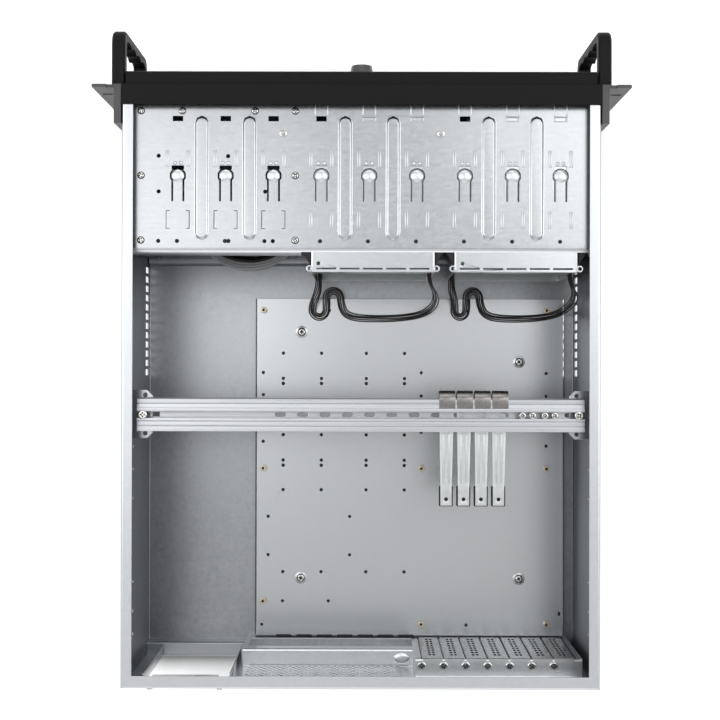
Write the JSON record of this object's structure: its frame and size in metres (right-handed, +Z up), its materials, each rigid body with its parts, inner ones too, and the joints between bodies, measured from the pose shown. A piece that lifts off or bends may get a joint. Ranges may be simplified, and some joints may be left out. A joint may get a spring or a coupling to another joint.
{
  "type": "empty rackmount server case",
  "caption": "Open-topped 4U rackmount server case with upright drive bays and cages, motherboard tray, crossbar with card clamps, hinged front door and rack handles.",
  "frame": {"origin": "middle of the outer box on the plane the case stands on", "axes": "+Z up out of the open top, -Y out of the front door, +X towards the power supply side"},
  "size_m": [0.4826, 0.592, 0.177],
  "materials": {
    "zinc_steel": "galvanised sheet, satin",
    "bright_steel": "bright zinc-plated sheet",
    "spring_steel": "brownish spring strip",
    "bright_aluminium": "brushed extrusion",
    "black_coat": "satin black powder coat",
    "dark_coat": "dark grey powder coat",
    "brass": "turned brass",
    "nickel": "nickel-plated steel",
    "black_plastic": "moulded, fine texture",
    "rubber": "soft black rubber",
    "board_green": "circuit board",
    "socket_white": "moulded connector",
    "cable_black": "wire sleeve",
    "cable_grey": "lead jacket",
    "lamp_clear": "clear light guide"
  },
  "bodies": {
    "case": {"backplane_left": "board_green", "backplane_right": "board_green", "bar_bracket_left": "zinc_steel", "bar_bracket_right": "zinc_steel", "bar_screws": "nickel", "bay_cover_1": "black_plastic", "bay_cover_2": "black_plastic", "bay_cover_3": "black_plastic", "bay_divider_inner": "zinc_steel", "bay_divider_outer": "zinc_steel", "cage_bezel_left": "black_plastic", "cage_bezel_right": "black_plastic", "cage_rails_left": "black_plastic", "cage_rails_right": "black_plastic", "card_clamp_1": "spring_steel", "card_clamp_2": "spring_steel", "card_clamp_3": "spring_steel", "card_clamp_4": "spring_steel", "case_screws": "nickel", "chassis_shell": "zinc_steel", "clamp_feet": "rubber", "control_board": "board_green", "control_panel": "black_plastic", "crossbar": "bright_aluminium", "drive_cage_left": "zinc_steel", "drive_cage_right": "zinc_steel", "drive_plate_bottom": "zinc_steel", "drive_plate_top": "zinc_steel", "front_frame": "black_coat", "front_lights": "lamp_clear", "handle_left": "black_coat", "handle_right": "black_coat", "harness_left": "cable_black", "harness_right": "cable_black", "harness_sockets": "socket_white", "hinge_pins": "nickel", "lead_coil": "cable_grey", "lead_connectors": "black_plastic", "motherboard_tray": "zinc_steel", "rack_ear_left": "dark_coat", "rack_ear_right": "dark_coat", "rear_panel": "zinc_steel", "slot_cover_1": "bright_steel", "slot_cover_2": "bright_steel", "slot_cover_3": "bright_steel", "slot_cover_4": "bright_steel", "slot_cover_5": "bright_steel", "slot_cover_6": "bright_steel", "slot_cover_7": "bright_steel", "slot_screws": "nickel", "standoffs": "brass", "switch_lead": "cable_black", "usb_lead": "cable_grey", "usb_sockets": "nickel"},
    "door": {"front_door": "black_coat", "lock_body": "nickel"},
    "lock": {"lock_plug": "nickel", "lock_cam": "nickel"},
    "power": {"power_button": "black_plastic"},
    "reset": {"reset_button": "black_plastic"}
  },
  "joints": [
    {"name": "door_hinge", "type": "hinge", "parent": "case", "child": "door", "pos_m": [0, -0.2523, 0.0075], "axis": [1, 0, 0], "range_deg": [0, 86]},
    {"name": "lock_turn", "type": "hinge", "parent": "door", "child": "lock", "pos_m": [0, -0.25, 0.154], "axis": [0, -1, 0], "range_deg": [0, 90]},
    {"name": "power_press", "type": "slide", "parent": "case", "child": "power", "axis": [0, 1, 0], "range_m": [0, 0.001], "stiffness_N_per_m": 600},
    {"name": "reset_press", "type": "slide", "parent": "case", "child": "reset", "axis": [0, 1, 0], "range_m": [0, 0.001], "stiffness_N_per_m": 400}
  ]
}
